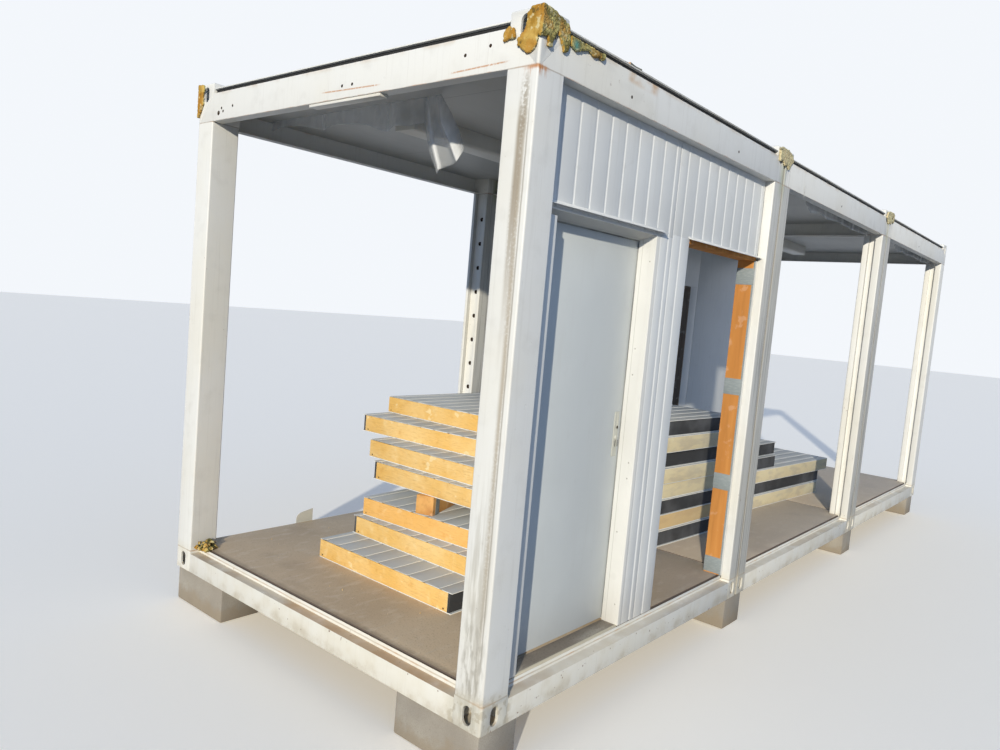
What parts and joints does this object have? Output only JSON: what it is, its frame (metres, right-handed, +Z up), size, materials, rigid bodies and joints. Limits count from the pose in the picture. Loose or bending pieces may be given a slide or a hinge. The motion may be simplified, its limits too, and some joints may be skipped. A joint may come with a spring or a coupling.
{
  "type": "row of three modular site containers",
  "caption": "Steel-framed site container modules joined in a row, open-sided, with a door wall and stacked wall panels inside.",
  "frame": {"origin": "on the ground under the middle of the row", "axes": "+X along the row away from the open end, +Y from the door wall to the rear, +Z up"},
  "size_m": [7.394, 2.464, 3],
  "materials": {
    "frame_paint": "worn white paint with grime and rust runs",
    "floor_board": "worn grey-brown floor covering",
    "ceiling_lining": "matt white sheet",
    "roof_sheet": "weathered light grey sheet",
    "wall_panel": "white coated steel, lightly soiled",
    "timber": "sawn softwood",
    "door_leaf": "smooth grey-white coating",
    "door_frame": "white coated sheet",
    "bare_metal": "worn zinc-plated steel",
    "mineral_wool": "cut face of yellow mineral wool board",
    "panel_skin": "grey coated steel with pressed grooves",
    "seal": "matt black foam seal",
    "lamp_housing": "white plastic",
    "film": "clear plastic film",
    "foam": "weathered mounting foam",
    "concrete": "grey concrete"
  },
  "bodies": {
    "frame": {"casting_foam": "foam", "ceiling_lamps": "lamp_housing", "door_frame": "door_frame", "door_hinge_jamb_halves": "bare_metal", "door_sill": "bare_metal", "drip_flashings": "door_frame", "front_wall_beside_door": "wall_panel", "front_wall_beside_opening": "wall_panel", "front_wall_over_door": "wall_panel", "front_wall_over_opening": "wall_panel", "hanging_film": "film", "module_1_bottom_castings": "frame_paint", "module_1_bottom_rails": "frame_paint", "module_1_ceiling": "ceiling_lining", "module_1_corner_posts": "frame_paint", "module_1_floor": "floor_board", "module_1_roof": "roof_sheet", "module_1_top_castings": "frame_paint", "module_1_top_rails": "frame_paint", "module_2_bottom_castings": "frame_paint", "module_2_bottom_rails": "frame_paint", "module_2_ceiling": "ceiling_lining", "module_2_corner_posts": "frame_paint", "module_2_floor": "floor_board", "module_2_roof": "roof_sheet", "module_2_top_castings": "frame_paint", "module_2_top_rails": "frame_paint", "module_3_bottom_castings": "frame_paint", "module_3_bottom_rails": "frame_paint", "module_3_ceiling": "ceiling_lining", "module_3_corner_posts": "frame_paint", "module_3_floor": "floor_board", "module_3_roof": "roof_sheet", "module_3_top_castings": "frame_paint", "module_3_top_rails": "frame_paint", "open_end_batten": "lamp_housing", "opening_jamb_trim": "door_frame", "opening_timber_lining": "timber", "rear_opening_timber_lining": "timber", "rear_wall_beside_opening": "wall_panel", "rear_wall_over_opening": "wall_panel", "rear_wall_plain_panel": "wall_panel", "roof_edge_scrap": "timber", "stack_packing_timber": "timber", "stack_panel_cores": "mineral_wool", "stack_panel_seals": "seal", "stack_panel_skins": "panel_skin", "support_blocks": "concrete"},
    "door": {"door_leaf": "door_leaf", "door_lock_plate": "bare_metal", "door_hinge_leaf_halves": "bare_metal"}
  },
  "joints": [
    {"name": "door_hinge", "type": "hinge", "parent": "frame", "child": "door", "pos_m": [-3.493, -1.018, 1.3], "axis": [0, 0, 1], "range_deg": [0, 25]}
  ]
}
